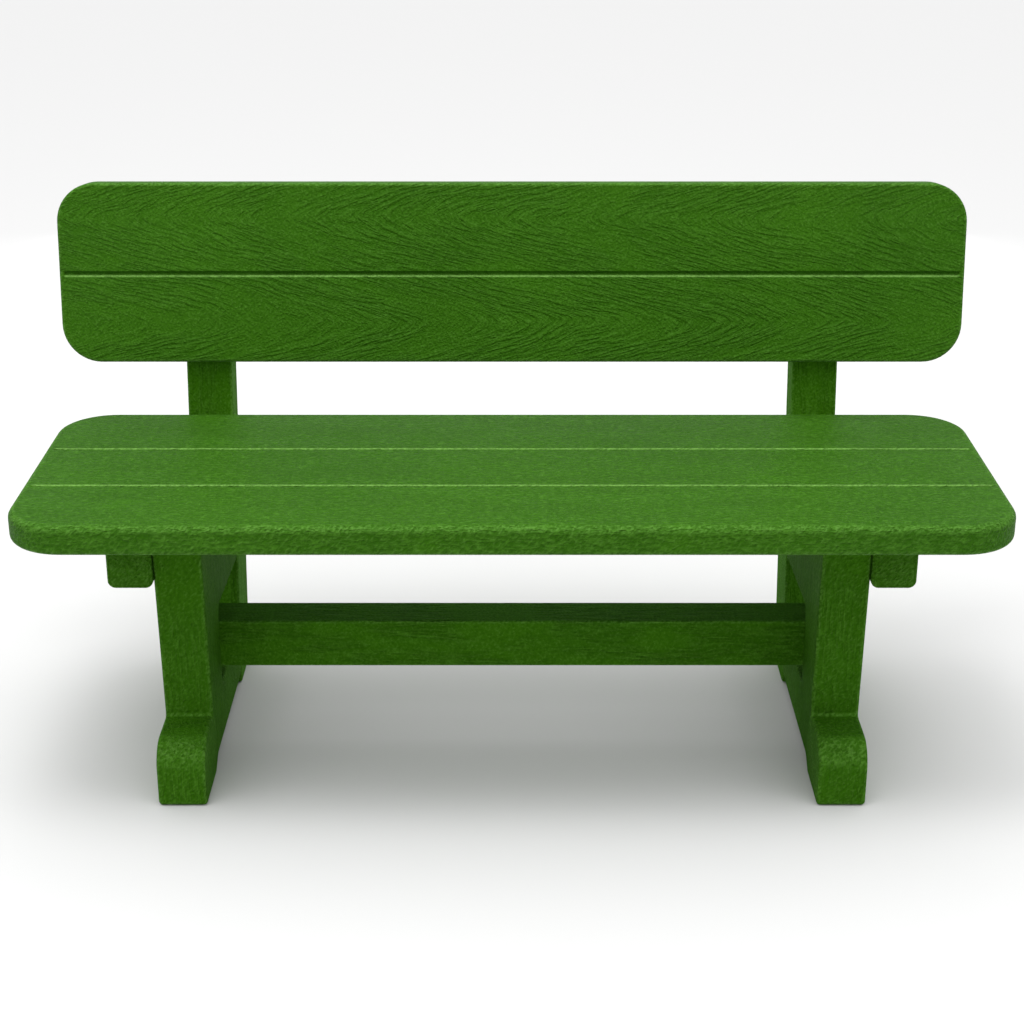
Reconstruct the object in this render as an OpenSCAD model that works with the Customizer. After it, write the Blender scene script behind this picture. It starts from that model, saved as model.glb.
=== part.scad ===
// Park bench with a back, moulded from recycled plastic.
// X runs along the seat, +Y points to the back and +Z up.
// The origin lies on the ground, midway along the seat and midway from its front edge to the post tops.

/* [Seat] */
// Length of the seat
seat_l = 1219; // [900:1:1500]
// Depth of the seat, front to back
seat_d = 419; // [380:1:520]
// Thickness of the seat slab
seat_t = 38; // [32:0.5:50]
// Height of the seat's top face above the ground
seat_h = 400; // [370:1:480]
// Distance from the front edge to the front plank line
front_line_y = 137; // [100:1:150]
// Distance from the rear edge to the rear plank line
rear_line_y = 148; // [100:1:160]
// Width of a plank line in the seat
seat_groove_w = 5; // [2:0.5:8]
// Depth of a plank line in the seat
seat_groove_d = 2.2; // [1:0.1:4]

/* [Back] */
// Length of the back
back_l = 1219; // [900:1:1500]
// Height of the back slab, measured up its slope
back_w = 241; // [200:1:300]
// Thickness of the back slab
back_t = 38; // [32:0.5:50]
// Lean of the back and its posts, in degrees
recline = 8; // [4:0.5:12]
// Open height between the seat and the back
back_gap = 72; // [40:1:110]
// Width of the plank line in the back
back_groove_w = 7; // [3:0.5:12]
// Depth of the plank line in the back
back_groove_d = 3; // [1:0.1:5]

/* [Slab edges] */
// Radius of the seat's corners, seen from above
seat_corner_r = 72; // [40:1:90]
// Radius of the back's corners, seen from the front
back_corner_r = 52; // [30:1:80]
// Radius of the seat's upper edges
seat_edge_r = 10; // [6:0.5:14]
// Radius of the seat's lower edges
seat_under_r = 8; // [2:0.5:10]
// Radius of the back's edges
back_edge_r = 5; // [2:0.5:12]
// Distance from the slab ends to the ends of the plank lines
groove_margin = 6; // [4:0.5:15]

/* [Legs] */
// Distance from the seat's ends to the outer faces of the legs
end_overhang = 160.5; // [130:0.5:220]
// Thickness of legs and posts, along the seat
leg_t = 62; // [50:1:70]
// Distance from the seat's front edge to the tip of the toe
toe_y = 42; // [10:1:60]
// Distance from the seat's front edge to the leg at the top of the foot
shin_low_y = 129; // [110:1:150]
// Distance from the seat's front edge to the leg under the seat
shin_top_y = 108; // [95:1:150]
// Depth of the leg at its waist
waist_d = 93; // [80:1:110]
// Height of the foot
foot_h = 85; // [70:1:100]
// Length of the foot's front pad
pad_l = 88; // [60:1:100]
// Height of the arch under the foot
arch_h = 15; // [8:1:20]
// Radius of the toe's top
toe_r = 35; // [20:1:40]
// Height of the arm under the seat, at the post
arm_rear_h = 176; // [140:1:180]
// Height of the arm under the seat, at the waist
arm_front_h = 165; // [130:1:180]

/* [Back posts] */
// Gap between the seat's rear edge and the posts
post_gap = 29; // [20:1:45]
// Depth of the posts behind the back
post_upper_d = 51; // [45:1:60]
// Depth of the posts under the seat
post_lower_d = 89; // [75:1:100]
// Height up the post where its deep part starts to thin
shoulder_low = 262; // [250:1:265]
// Height up the post where the thin part starts
shoulder_high = 308; // [300:1:320]
// Distance from the top of the post to the top of the back
post_top_drop = 18; // [10:1:40]

/* [Seat rails] */
// Thickness of the seat rails
rail_t = 57; // [45:1:65]
// Height of the seat rails
rail_h = 89; // [75:1:100]
// Distance the rails reach past the front of the posts
rail_reach = 50; // [46:1:60]
// Radius of the lower rail edges
rail_r = 10; // [4:1:16]

/* [Stretcher] */
// Height of the stretcher
stretcher_h = 66; // [60:1:80]
// Depth of the stretcher
stretcher_d = 62; // [50:1:70]
// Height of the stretcher's underside above the ground
stretcher_z = 110; // [102:1:116]
// Distance from the leg's outer face to the stretcher's end
stretcher_inset = 6; // [2:1:12]
// Radius of the stretcher's long edges
stretcher_r = 4; // [2:0.5:8]

/* [Screws] */
// Diameter of the structural lag screws
lag_d = 10; // [8:0.5:10]
// Length of the structural lag screws under the head
lag_l = 90; // [80:1:95]
// Diameter of the slab screws
slab_screw_d = 8; // [6:0.5:9]
// Length of the slab screws under the head
slab_screw_l = 70; // [65:1:75]
// Depth that the slab screws bite into the slabs
slab_bite = 27; // [22:0.5:27]
// Depth of the recess that a lag head and washer sit in
recess_depth = 10; // [9:0.5:12]
// Thickness of the washers
washer_t = 2; // [1:0.5:2.5]

/* [Hidden] */

$fn = 48;

LEFT = -1;
RIGHT = 1;
green = [0.25, 0.48, 0.13];
shade_green = [0.2, 0.4, 0.1];
steel = [0.72, 0.73, 0.74];

// clearances
shank_clearance = 0.5;     // round a shank in a through hole, each side
pilot_clearance = 0.15;    // round a thread in its pilot hole, each side
tip_clearance = 2;         // beyond a screw's point
socket_clearance = 3;      // round a washer in its recess, each side
over = 1;                  // how far a cut runs past a face

// screw proportions
head_across = 1.6;         // width across flats, in diameters
head_height = 0.65;        // in diameters
washer_across = 2.1;       // in diameters
thread_share = 0.6;        // share of the length that is threaded
thread_pitch = 0.45;       // in diameters
thread_root = 0.75;        // root diameter, in diameters
point_length = 0.7;        // in diameters

// heights and places, with Y measured from the seat's front edge
seat_under = seat_h - seat_t;
leg_out_x = seat_l / 2 - end_overhang;
leg_mid_x = leg_out_x - leg_t / 2;
rail_mid_x = leg_out_x + rail_t / 2;
rail_z = seat_under - rail_h;
waist_y = shin_low_y + waist_d;
stretcher_l = 2 * (leg_out_x - stretcher_inset);

// the slope: s runs up the front of the posts from the ground, n runs back from it, square to it
slope_y0 = seat_d + post_gap - seat_h * tan(recline);
function slope_pt(s, n) = [slope_y0 + s * sin(recline) + n * cos(recline), s * cos(recline) - n * sin(recline)];
function post_front(z) = slope_y0 + z * tan(recline);

back_s = (seat_h + back_gap - back_t * sin(recline)) / cos(recline);
post_l = back_s + back_w - post_top_drop;
post_end_r = 8;
post_foot_r = 6;
shoulder_r = 45;

// the rearmost point is on the rounded top of the posts
depth_overall = slope_y0 + (post_l - post_end_r) * sin(recline) + (post_upper_d - post_end_r) * cos(recline)
                + post_end_r;
y_shift = -depth_overall / 2;

// places of the screws
rail_front_margin = 37;    // from the front of the rail to its first slab screw
seat_rear_margin = 34;     // from the rear edge of the seat to its last slab screw
foot_lag_drop = 35;        // from the top of the foot down to its lag
arm_lag_rise = 38;         // from the underside of the arm up to its lower lag
arm_lag_drop = 17;         // from the seat down to the upper lag of the arm
back_screw_shares = [0.15, 0.36, 0.6, 0.8];      // up the back slab
stretcher_lag_share = 0.235;                    // of the stretcher's height, above and below its middle

seat_screw_span = seat_d - seat_rear_margin - shin_top_y - rail_front_margin;
seat_screw_y = [for (i = [0:2]) shin_top_y + rail_front_margin + i * seat_screw_span / 2];
rail_lag_y = [for (i = [0:1]) (seat_screw_y[i] + seat_screw_y[i + 1]) / 2];
rail_lag_z = rail_z + rail_h / 2;
rail_post_lag_y = post_front(rail_lag_z) + post_upper_d / 2;
post_lag_z = [foot_h - foot_lag_drop, seat_under - arm_rear_h + arm_lag_rise, seat_under - arm_lag_drop];
back_screw_s = [for (share = back_screw_shares) back_s + share * back_w];
stretcher_lag_z = [for (share = [0.5 - stretcher_lag_share, 0.5 + stretcher_lag_share])
    stretcher_z + share * stretcher_h];

// how deep each head sits below the face it enters
seat_screw_recess = rail_h + slab_bite + washer_t - slab_screw_l;
back_screw_recess = post_upper_d + slab_bite + washer_t - slab_screw_l;

// ---- outlines with rounded corners ----

// Each corner is [x, y, radius]; the arc touches both edges that meet there.
function unit(v) = v / norm(v);
function xy(p) = [p[0], p[1]];
function corner_arc(before, at, after) =
    let (u = unit(xy(before) - xy(at)),
         v = unit(xy(after) - xy(at)),
         half = acos(u * v) / 2,
         centre = xy(at) + unit(u + v) * at[2] / sin(half),
         turn = sign(u[0] * v[1] - u[1] * v[0]),
         first = xy(at) + u * at[2] / tan(half) - centre,
         sweep = 180 - 2 * half,
         steps = max(2, ceil(sweep / 9)))
    [for (i = [0:steps])
        let (a = turn * -sweep * i / steps)
        centre + [first[0] * cos(a) - first[1] * sin(a), first[0] * sin(a) + first[1] * cos(a)]];
function rounded_outline(corners) =
    let (n = len(corners))
    [for (i = [0:n - 1]) each corner_arc(corners[(i + n - 1) % n], corners[i], corners[(i + 1) % n])];

// ---- building blocks ----

// Stands a Y-Z outline up as a plate of thickness t, centred on the plane x.
module side_plate(x, t) {
    translate([x - t / 2, 0, 0])
        rotate([90, 0, 90])
            linear_extrude(t)
                children();
}

// Rectangle w by h with its lower left corner at the origin, and its own radii above and below.
module bar_section(w, h, top_r, bottom_r) {
    translate([0, bottom_r])
        square([w, h - bottom_r - top_r]);
    for (end = [[bottom_r, bottom_r, 0], [top_r, h - top_r, h - top_r]]) {
        r = end[0];
        translate([r, end[2]])
            square([w - 2 * r, r]);
        for (x = [r, w - r])
            translate([x, end[1]])
                circle(r);
    }
}

// The outer c of a slab's section, with its outer edges rounded.
module rim_section(c, t, top_r, under_r) {
    intersection() {
        translate([-c, 0])
            bar_section(2 * c, t, top_r, under_r);
        square([c, t]);
    }
}

// Slab with rounded edges and rounded corners: a long bar, an end bar at each side
// and a quarter turn of the rim at each corner, all meeting face to face.
module soft_slab(l, w, t, c, top_r, under_r) {
    translate([-l / 2 + c, 0, 0])
        rotate([90, 0, 90])
            linear_extrude(l - 2 * c)
                bar_section(w, t, top_r, under_r);
    for (side = [LEFT, RIGHT])
        translate([side * (l / 2 - c), w / 2, 0])
            rotate([90, 0, side == RIGHT ? 0 : 180])
                translate([0, 0, c - w / 2])
                    linear_extrude(w - 2 * c)
                        rim_section(c, t, top_r, under_r);
    for (quarter = [0:3]) {
        x = (quarter == 0 || quarter == 3 ? 1 : -1) * (l / 2 - c);
        y = quarter < 2 ? w - c : c;
        translate([x, y, 0])
            rotate([0, 0, 90 * quarter])
                rotate_extrude(angle = 90)
                    rim_section(c, t, top_r, under_r);
    }
}

// V-shaped plank line of width w and depth d, along X, cut into the top face at height z.
module vee_groove(l, y, z, w, d) {
    translate([-l / 2, y, z])
        rotate([90, 0, 90])
            linear_extrude(l)
                polygon([[-w / 2, 0], [0, -d], [w / 2, 0], [w / 2, over], [-w / 2, over]]);
}

// Flat-bottomed plank line with sloping walls.
module flat_groove(l, y, z, w, d) {
    translate([-l / 2, y, z])
        rotate([90, 0, 90])
            linear_extrude(l)
                polygon([[-w / 2, 0], [-w / 4, -d], [w / 4, -d], [w / 2, 0], [w / 2, over], [-w / 2, over]]);
}

// Lag screw along +Z: the underside of the hexagonal head is at z = 0.
module lag_screw(d, l) {
    r = d / 2;
    root = r * thread_root;
    pitch = d * thread_pitch;
    thread_l = l * thread_share;
    turns = floor((thread_l - d * point_length) / pitch);
    plain_l = l - d * point_length - turns * pitch;
    translate([0, 0, -d * head_height])
        cylinder(h = d * head_height, r = d * head_across / 2 / cos(30), $fn = 6);
    rotate_extrude()
        polygon(concat(
            [[0, 0], [r, 0], [r, plain_l]],
            [for (i = [0:turns - 1], p = [[root, 0.2], [r, 0.5], [root, 0.8]])
                [p[0], plain_l + (i + p[1]) * pitch]],
            [[root, l - d * point_length], [0, l]]));
}

module flat_washer(d) {
    difference() {
        cylinder(h = washer_t, d = d * washer_across);
        translate([0, 0, -over])
            cylinder(h = washer_t + 2 * over, r = d / 2 + shank_clearance);
    }
}

// Hole for a lag screw whose washer rests at z = 0: a recess below, a through hole, then a pilot hole.
module lag_hole(d, l, through, recess) {
    translate([0, 0, -recess - over])
        cylinder(h = recess + over, r = d * washer_across / 2 + socket_clearance);
    translate([0, 0, -over])
        cylinder(h = through + over, r = d / 2 + shank_clearance);
    cylinder(h = l - washer_t + tip_clearance, r = d / 2 + pilot_clearance);
}

// ---- where each set of screws goes: the washer's seat is the origin, the screw points along +Z ----

module at_seat_screws(side) {
    for (y = seat_screw_y)
        translate([side * rail_mid_x, y, rail_z + seat_screw_recess])
            children();
}

module at_back_screws(side) {
    for (s = back_screw_s) {
        p = slope_pt(s, post_upper_d - back_screw_recess);
        translate([side * leg_mid_x, p[0], p[1]])
            rotate([90 - recline, 0, 0])
                children();
    }
}

module at_rail_lags(side) {
    for (y = concat(rail_lag_y, [rail_post_lag_y]))
        translate([side * (leg_out_x + rail_t - recess_depth), y, rail_lag_z])
            rotate([0, -side * 90, 0])
                children();
}

// The lags in the deep part of the post start from deeper recesses, so that one length serves all.
module at_post_lags(side) {
    for (z = post_lag_z) {
        s = z / cos(recline);
        p = slope_pt(s, post_upper_d - recess_depth);
        translate([side * leg_mid_x, p[0], p[1]])
            rotate([90 - recline, 0, 0])
                children();
    }
}

module at_stretcher_lags() {
    for (side = [LEFT, RIGHT], z = stretcher_lag_z)
        translate([side * leg_mid_x, waist_y + stretcher_d - recess_depth, z])
            rotate([90, 0, 0])
                children();
}

module seat_screw_holes(side) {
    at_seat_screws(side)
        lag_hole(slab_screw_d, slab_screw_l, rail_h - seat_screw_recess, seat_screw_recess);
}

module back_screw_holes(side) {
    at_back_screws(side)
        lag_hole(slab_screw_d, slab_screw_l, post_upper_d - back_screw_recess, back_screw_recess);
}

module rail_lag_holes(side) {
    at_rail_lags(side)
        lag_hole(lag_d, lag_l, rail_t - recess_depth, recess_depth);
}

module post_lag_holes(side) {
    at_post_lags(side)
        lag_hole(lag_d, lag_l, post_upper_d - recess_depth, recess_depth + post_lower_d - post_upper_d);
}

module stretcher_lag_holes() {
    at_stretcher_lags()
        lag_hole(lag_d, lag_l, stretcher_d - recess_depth, recess_depth);
}

// Screws stand on their washers.
module screws(d, l) {
    translate([0, 0, -washer_t])
        lag_screw(d, l);
}

module washers(d) {
    translate([0, 0, -washer_t])
        flat_washer(d);
}

// ---- the bench ----

module seat_slab() {
    color(green)
        translate([0, y_shift, 0])
            difference() {
                translate([0, 0, seat_under])
                    soft_slab(seat_l, seat_d, seat_t, seat_corner_r, seat_edge_r, seat_under_r);
                for (y = [front_line_y, seat_d - rear_line_y])
                    vee_groove(seat_l - 2 * groove_margin, y, seat_h, seat_groove_w, seat_groove_d);
                for (side = [LEFT, RIGHT])
                    seat_screw_holes(side);
            }
}

// The slab is built flat with its face up, then stood on the slope.
module back_slab() {
    low_edge = slope_pt(back_s, 0);
    color(green)
        translate([0, y_shift, 0])
            difference() {
                translate([0, low_edge[0], low_edge[1]])
                    rotate([90 - recline, 0, 0])
                        difference() {
                            soft_slab(back_l, back_w, back_t, back_corner_r, back_edge_r, back_edge_r);
                            flat_groove(back_l - 2 * groove_margin, back_w / 2, back_t,
                                        back_groove_w, back_groove_d);
                        }
                for (side = [LEFT, RIGHT])
                    back_screw_holes(side);
            }
}

// radii of the leg's corners
toe_tip_r = 5;
arch_r = 8;
waist_r = 14;              // where the foot and the arm leave the waist
crease_r = 4;              // where the shin meets the foot
joint_r = 3;               // where the leg meets the post and the seat
arch_run = 1.5;            // length of the arch's slope, in heights of the arch

function leg_corners() = [
    [toe_y, 0, toe_tip_r],
    [toe_y + pad_l, 0, arch_r],
    [toe_y + pad_l + arch_run * arch_h, arch_h, arch_r],
    [post_front(arch_h), arch_h, joint_r],
    [post_front(foot_h), foot_h, joint_r],
    [waist_y, foot_h, waist_r],
    [waist_y, seat_under - arm_front_h, waist_r],
    [post_front(seat_under - arm_rear_h), seat_under - arm_rear_h, joint_r],
    [post_front(seat_under), seat_under, joint_r],
    [shin_top_y, seat_under, joint_r],
    [shin_low_y, foot_h, crease_r],
    [toe_y, foot_h, toe_r]
];

module leg(side) {
    color(green)
        translate([0, y_shift, 0])
            difference() {
                side_plate(side * leg_mid_x, leg_t)
                    polygon(rounded_outline(leg_corners()));
                rail_lag_holes(side);
                post_lag_holes(side);
                stretcher_lag_holes();
            }
}

module left_leg() { leg(LEFT); }
module right_leg() { leg(RIGHT); }

function post_corner(s, n, r) = concat(slope_pt(s, n), [r]);
function post_corners() = [
    post_corner(0, 0, post_foot_r),
    post_corner(post_lower_d * tan(recline), post_lower_d, post_foot_r),
    post_corner(shoulder_low, post_lower_d, shoulder_r),
    post_corner(shoulder_high, post_upper_d, shoulder_r),
    post_corner(post_l, post_upper_d, post_end_r),
    post_corner(post_l, 0, post_end_r)
];

module back_post(side) {
    color(shade_green)
        translate([0, y_shift, 0])
            difference() {
                side_plate(side * leg_mid_x, leg_t)
                    polygon(rounded_outline(post_corners()));
                rail_lag_holes(side);
                post_lag_holes(side);
                back_screw_holes(side);
            }
}

module left_back_post() { back_post(LEFT); }
module right_back_post() { back_post(RIGHT); }

rail_top_r = 2;
module seat_rail(side) {
    rail_l = post_front(rail_lag_z) + rail_reach - shin_top_y;
    color(shade_green)
        translate([0, y_shift, 0])
            difference() {
                translate([side * rail_mid_x - rail_t / 2, shin_top_y + rail_l, rail_z])
                    rotate([90, 0, 0])
                        linear_extrude(rail_l)
                            bar_section(rail_t, rail_h, rail_top_r, rail_r);
                rail_lag_holes(side);
                seat_screw_holes(side);
            }
}

module left_seat_rail() { seat_rail(LEFT); }
module right_seat_rail() { seat_rail(RIGHT); }

module stretcher() {
    color(shade_green)
        translate([0, y_shift, 0])
            difference() {
                translate([-stretcher_l / 2, waist_y, stretcher_z])
                    rotate([90, 0, 90])
                        linear_extrude(stretcher_l)
                            bar_section(stretcher_d, stretcher_h, stretcher_r, stretcher_r);
                stretcher_lag_holes();
            }
}

// ---- the fixings ----

module fixing() {
    color(steel)
        translate([0, y_shift, 0])
            children();
}

module left_seat_screws() { fixing() at_seat_screws(LEFT) screws(slab_screw_d, slab_screw_l); }
module right_seat_screws() { fixing() at_seat_screws(RIGHT) screws(slab_screw_d, slab_screw_l); }
module left_seat_washers() { fixing() at_seat_screws(LEFT) washers(slab_screw_d); }
module right_seat_washers() { fixing() at_seat_screws(RIGHT) washers(slab_screw_d); }

module left_back_screws() { fixing() at_back_screws(LEFT) screws(slab_screw_d, slab_screw_l); }
module right_back_screws() { fixing() at_back_screws(RIGHT) screws(slab_screw_d, slab_screw_l); }
module left_back_washers() { fixing() at_back_screws(LEFT) washers(slab_screw_d); }
module right_back_washers() { fixing() at_back_screws(RIGHT) washers(slab_screw_d); }

module left_rail_lags() { fixing() at_rail_lags(LEFT) screws(lag_d, lag_l); }
module right_rail_lags() { fixing() at_rail_lags(RIGHT) screws(lag_d, lag_l); }
module left_rail_washers() { fixing() at_rail_lags(LEFT) washers(lag_d); }
module right_rail_washers() { fixing() at_rail_lags(RIGHT) washers(lag_d); }

module left_post_lags() { fixing() at_post_lags(LEFT) screws(lag_d, lag_l); }
module right_post_lags() { fixing() at_post_lags(RIGHT) screws(lag_d, lag_l); }
module left_post_washers() { fixing() at_post_lags(LEFT) washers(lag_d); }
module right_post_washers() { fixing() at_post_lags(RIGHT) washers(lag_d); }

module stretcher_lags() { fixing() at_stretcher_lags() screws(lag_d, lag_l); }
module stretcher_washers() { fixing() at_stretcher_lags() washers(lag_d); }

seat_slab();
back_slab();
left_leg();
right_leg();
left_back_post();
right_back_post();
left_seat_rail();
right_seat_rail();
stretcher();
left_seat_screws();
right_seat_screws();
left_seat_washers();
right_seat_washers();
left_back_screws();
right_back_screws();
left_back_washers();
right_back_washers();
left_rail_lags();
right_rail_lags();
left_rail_washers();
right_rail_washers();
left_post_lags();
right_post_lags();
left_post_washers();
right_post_washers();
stretcher_lags();
stretcher_washers();
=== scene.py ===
# %% [markdown]
# # A moulded park bench
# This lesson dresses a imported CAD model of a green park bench. The seat and the back are two heavy
# moulded slabs. Each side frame is a trestle leg with a toe, a leaning post and a rail, and one
# stretcher ties the two frames together. The CAD gives every size and place, and the cells below
# replace its plain solids with eased, grooved and carved surfaces worked out with numpy.

import math

import bmesh
import bpy
import numpy as np
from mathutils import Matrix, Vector


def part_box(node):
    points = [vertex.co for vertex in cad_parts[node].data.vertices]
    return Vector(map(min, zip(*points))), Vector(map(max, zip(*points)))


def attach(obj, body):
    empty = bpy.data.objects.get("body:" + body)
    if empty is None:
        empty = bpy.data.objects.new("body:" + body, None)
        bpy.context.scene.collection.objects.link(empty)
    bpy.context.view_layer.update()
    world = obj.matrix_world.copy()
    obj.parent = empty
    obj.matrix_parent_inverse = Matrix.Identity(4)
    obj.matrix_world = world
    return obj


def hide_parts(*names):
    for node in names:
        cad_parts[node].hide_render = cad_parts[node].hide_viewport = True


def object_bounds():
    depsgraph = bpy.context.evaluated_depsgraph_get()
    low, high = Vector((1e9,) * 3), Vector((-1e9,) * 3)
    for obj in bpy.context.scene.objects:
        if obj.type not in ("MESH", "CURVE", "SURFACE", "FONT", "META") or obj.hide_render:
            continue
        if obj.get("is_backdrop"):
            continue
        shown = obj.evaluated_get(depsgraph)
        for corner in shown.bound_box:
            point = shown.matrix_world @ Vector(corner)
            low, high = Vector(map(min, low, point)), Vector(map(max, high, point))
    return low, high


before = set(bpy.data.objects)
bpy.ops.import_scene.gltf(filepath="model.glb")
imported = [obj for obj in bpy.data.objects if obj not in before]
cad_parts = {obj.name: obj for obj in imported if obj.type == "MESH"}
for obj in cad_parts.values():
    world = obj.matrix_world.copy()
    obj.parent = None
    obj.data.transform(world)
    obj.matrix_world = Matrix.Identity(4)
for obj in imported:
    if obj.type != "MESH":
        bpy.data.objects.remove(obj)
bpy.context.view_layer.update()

# %% [markdown]
# ## Where things are
# A maker would write the few sizes that everything hangs on at the top of the drawing. Here they come
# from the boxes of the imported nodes. Lengths inside the shapes are written in millimetres, with Y
# measured from the seat's front edge, because that is how a workshop drawing has them.

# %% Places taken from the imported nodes
MM = 0.001
seat_low, seat_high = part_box("seat_slab")
leg_low, leg_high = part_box("right_leg")
rail_low, rail_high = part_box("right_seat_rail")
bar_low, bar_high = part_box("stretcher")
FRONT = seat_low.y / MM
SEAT_TOP = seat_high.z / MM
SEAT_UNDER = seat_low.z / MM
SEAT_DEPTH = (seat_high.y - seat_low.y) / MM
LEG_IN, LEG_OUT = leg_low.x / MM, leg_high.x / MM
LEG_MID = (LEG_IN + LEG_OUT) / 2
print("seat top", SEAT_TOP, "legs from", LEG_IN, "to", LEG_OUT)

# %% [markdown]
# ## The slope of the back
# The posts and the back lean by eight degrees. Two directions describe the slope: `s` runs up the
# front of the posts from the ground and `n` runs backwards, square to it. Working in these two is much
# easier than turning finished meshes, and it is how a carpenter would lay a leaning post out.

# %% The slope
LEAN = math.radians(8)
POST_GAP, BACK_GAP = 29, 72  # behind the seat, and between the seat and the back
BACK_T, BACK_W = 38, 241
POST_SHORT = 18  # how far the posts end below the top of the back
SLOPE_FOOT = SEAT_DEPTH + POST_GAP - SEAT_TOP * math.tan(LEAN)
BACK_S = (SEAT_TOP + BACK_GAP - BACK_T * math.sin(LEAN)) / math.cos(LEAN)
POST_L = BACK_S + BACK_W - POST_SHORT


def slope_point(s, n):
    """(y, z) of a point s up the slope and n behind it: the foot plus s times (sin, cos) of the
    lean plus n times (cos, -sin)."""
    return (SLOPE_FOOT + s * math.sin(LEAN) + n * math.cos(LEAN), s * math.cos(LEAN) - n * math.sin(LEAN))


def post_front(z):
    """y of the front of the posts at height z."""
    return SLOPE_FOOT + z * math.tan(LEAN)


print("the back starts", round(BACK_S, 1), "mm up the slope; the posts are", round(POST_L, 1), "mm long")

# %% [markdown]
# ## Outlines with rounded corners
# Boards cut from moulded stock have no sharp corner anywhere. An outline is a list of corners, each with
# its radius, and one function turns it into a ring of points. It could be drawn as a curve with handles,
# but an arc worked out exactly keeps the wall thickness true and tells each point which way is outwards.


# %% Outlines
TIGHT = 5  # a hollow arc with less radius reads as a crease


def rounded_outline(corners, stops=None, steps=8):
    """Ring of points round a counterclockwise outline, with an arc at every corner.

    Corner i is (a, b, radius). u and v are the unit directions that leave it along its two sides, so the
    arc's centre is corner + unit(u + v) * radius / sin(half the angle between them). The arc's points are
    centre + radius * (cos t, sin t), with t turning evenly from the outward direction of the side before
    to that of the side after; at a hollow corner the sign of radius is turned round. stops[i] lists
    distances from corner i along the side after it where the ring has points too.
    Gives the points, their outward directions, a weight that is 1 in the middle of outer and of tight
    arcs, and the index of each side's first stop."""
    corners = np.array(corners, float)
    at, radius = corners[:, :2], corners[:, 2]
    u = np.roll(at, 1, 0) - at
    v = np.roll(at, -1, 0) - at
    u /= np.linalg.norm(u, axis=1)[:, None]
    v /= np.linalg.norm(v, axis=1)[:, None]
    half = np.arccos((u * v).sum(1)) / 2
    turn = np.sign(u[:, 1] * v[:, 0] - u[:, 0] * v[:, 1])
    middle = (u + v) / np.linalg.norm(u + v, axis=1)[:, None]
    centre = at + middle * (radius / np.sin(half))[:, None]
    t = np.linspace(0, 1, steps + 1)
    angle = np.arctan2(u[:, 0], -u[:, 1])[:, None] + (turn * (np.pi - 2 * half))[:, None] * t
    out = np.stack([np.cos(angle), np.sin(angle)], -1)
    arc = centre[:, None] + (turn * radius)[:, None, None] * out
    edge = np.sin(np.pi * t) * ((turn > 0) | (radius < TIGHT))[:, None]
    points, outs, weights, first, count = [], [], [], {}, 0
    for i in range(len(corners)):
        more = np.array((stops or {}).get(i, []), float)
        first[i] = count + steps + 1
        points += [arc[i], at[i] + v[i] * more[:, None]]
        outs += [out[i], np.repeat(out[i, -1:], len(more), 0)]
        weights += [edge[i], np.zeros(len(more))]
        count += steps + 1 + len(more)
    return np.concatenate(points), np.concatenate(outs), np.concatenate(weights), first


END_STEPS = 5


def eased_ends(low, high, radius, inner=()):
    """Levels along a sweep from low to high whose two ends are rounded.

    Over the first quarter turn t the level is low + radius * (1 - cos t) and the outline is pulled in by
    radius * (1 - sin t); the far end is the mirror image. inner lists levels that are wanted between."""
    t = np.linspace(0, np.pi / 2, END_STEPS + 1)
    rise, pull, edge = radius * (1 - np.cos(t)), radius * (1 - np.sin(t)), np.sin(2 * t)
    none = np.zeros(len(inner))
    return (np.concatenate([low + rise, np.asarray(inner, float), (high - rise)[::-1]]),
            np.concatenate([pull, none, pull[::-1]]),
            np.concatenate([edge, none, edge[::-1]]))


BLOCK = 8


def block(centre, half):
    """BLOCK + 1 evenly spaced stops, half to each side of centre: the sides of a square in which a
    screw's recess is cut."""
    return centre + half * np.linspace(-1, 1, BLOCK + 1)


test_square = rounded_outline([(0, 0, 1), (9, 0, 1), (9, 9, 1), (0, 9, 1)])
print("points round a test square:", len(test_square[0]))

# %% [markdown]
# ## Carved bars
# Legs, posts, rails and the stretcher are all one outline carried along a line, with eased ends and with
# round recesses where the screws sit. Cutting the recesses with a Boolean is quick but leaves thin
# triangles that shade badly. Here each recess takes the place of a square block of the grid: rings run
# from the square's rim to a circle, over a small lip, down the wall and across the floor, so the mesh
# stays clean and closed. The rings come first.


# %% Round recesses
FOOT_STEP = 0.6  # width of the ring that keeps a recess's floor crisp


def recess_rings(rim, centre, inward, radius, depth, lip):
    """Rings of a round recess inside a square rim of grid points.

    Each ring keeps the rim's directions from the centre. Over a quarter turn t the radius is
    radius + lip * (1 - sin t) and the depth lip * (1 - cos t); then come the foot of the wall, a ring
    just inside it on the floor, and last the centre of the floor."""
    way = rim - centre
    way /= np.linalg.norm(way, axis=1)[:, None]
    t = np.linspace(0, np.pi / 2, 4)
    r = np.concatenate([radius + lip * (1 - np.sin(t)), [radius, radius - FOOT_STEP * MM]])
    d = np.concatenate([lip * (1 - np.cos(t)), [depth - FOOT_STEP * MM, depth]])
    rings = centre + way * r[:, None, None] + inward * d[:, None, None]
    return np.concatenate([rings.reshape(-1, 3), (centre + inward * depth)[None]]), len(r)


square_rim = np.array([(1, 1, 0), (-1, 1, 0), (-1, -1, 0), (1, -1, 0)], float)
print("rings in a recess:", recess_rings(square_rim, np.zeros(3), np.array([0, 0, -1]), 0.5, 0.3, 0.05)[1])

# %% [markdown]
# ### The bar round its recesses
# The outline makes one direction of the grid and the line the other. The two eased ends close it with a
# flat face each, and the blocks that hold recesses are left out of the grid and filled with rings.


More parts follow.
